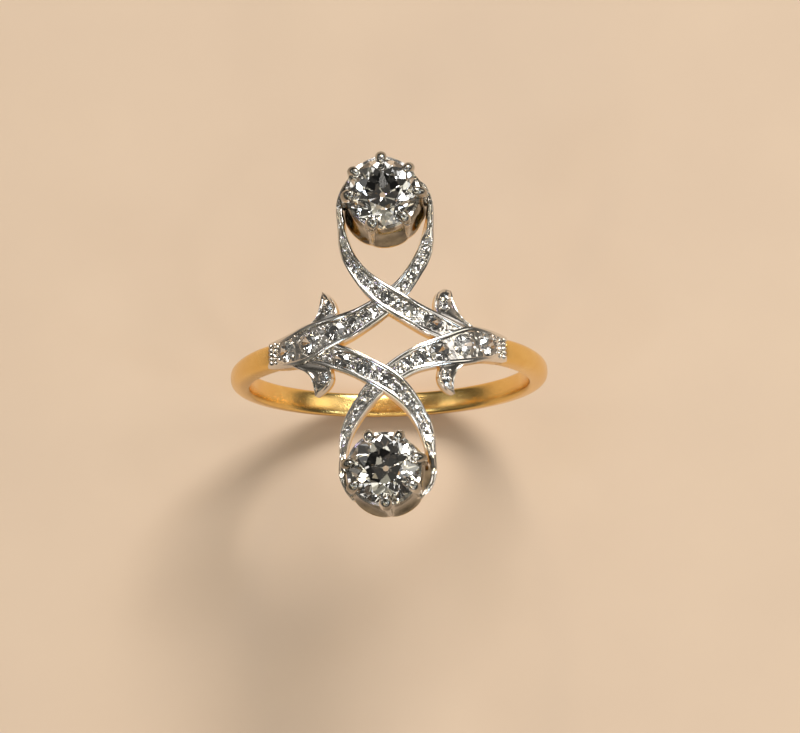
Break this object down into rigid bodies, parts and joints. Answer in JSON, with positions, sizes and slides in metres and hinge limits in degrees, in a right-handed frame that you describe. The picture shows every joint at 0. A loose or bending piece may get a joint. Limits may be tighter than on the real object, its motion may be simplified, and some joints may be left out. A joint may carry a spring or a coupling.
{
  "type": "engagement ring",
  "caption": "Crossover ring with two old-cut stones in claw collets at the ends of four diamond-set ribbons, on a plain gold shank.",
  "frame": {"origin": "centre of the finger hole", "axes": "+Y along the finger, +Z out through the head, +X across the finger"},
  "size_m": [0.0198, 0.0216, 0.0239],
  "materials": {
    "yellow_gold": "polished",
    "white_metal": "polished, with fine wear",
    "diamond": "cut and polished"
  },
  "bodies": {
    "root": {"shank": "yellow_gold", "crossover_face_upper": "white_metal", "crossover_back_upper": "yellow_gold", "crossover_face_lower": "white_metal", "crossover_back_lower": "yellow_gold", "shoulder_face_left": "white_metal", "shoulder_back_left": "yellow_gold", "shoulder_face_right": "white_metal", "shoulder_back_right": "yellow_gold", "loop_face_upper": "white_metal", "loop_back_upper": "yellow_gold", "loop_face_lower": "white_metal", "loop_back_lower": "yellow_gold", "collet_upper": "white_metal", "collet_ring_upper": "yellow_gold", "main_diamond_upper": "diamond", "collet_lower": "white_metal", "collet_ring_lower": "yellow_gold", "main_diamond_lower": "diamond", "leaf_face_upper_left": "white_metal", "leaf_back_upper_left": "yellow_gold", "leaf_diamond_upper_left": "diamond", "leaf_face_upper_right": "white_metal", "leaf_back_upper_right": "yellow_gold", "leaf_diamond_upper_right": "diamond", "leaf_face_lower_left": "white_metal", "leaf_back_lower_left": "yellow_gold", "leaf_diamond_lower_left": "diamond", "leaf_face_lower_right": "white_metal", "leaf_back_lower_right": "yellow_gold", "leaf_diamond_lower_right": "diamond", "crossover_diamond_upper_1": "diamond", "crossover_diamond_lower_1": "diamond", "crossover_diamond_upper_2": "diamond", "crossover_diamond_lower_2": "diamond", "crossover_diamond_upper_3": "diamond", "crossover_diamond_lower_3": "diamond", "crossover_diamond_upper_4": "diamond", "crossover_diamond_lower_4": "diamond", "crossover_diamond_upper_5": "diamond", "crossover_diamond_lower_5": "diamond", "crossover_diamond_upper_6": "diamond", "crossover_diamond_lower_6": "diamond", "shoulder_diamond_left_1": "diamond", "shoulder_diamond_right_1": "diamond", "shoulder_diamond_left_2": "diamond", "shoulder_diamond_right_2": "diamond", "shoulder_diamond_left_3": "diamond", "shoulder_diamond_right_3": "diamond", "shoulder_diamond_left_4": "diamond", "shoulder_diamond_right_4": "diamond", "shoulder_diamond_left_5": "diamond", "shoulder_diamond_right_5": "diamond", "loop_diamond_upper_1": "diamond", "loop_diamond_lower_1": "diamond", "loop_diamond_upper_2": "diamond", "loop_diamond_lower_2": "diamond", "loop_diamond_upper_3": "diamond", "loop_diamond_lower_3": "diamond"}
  },
  "joints": []
}
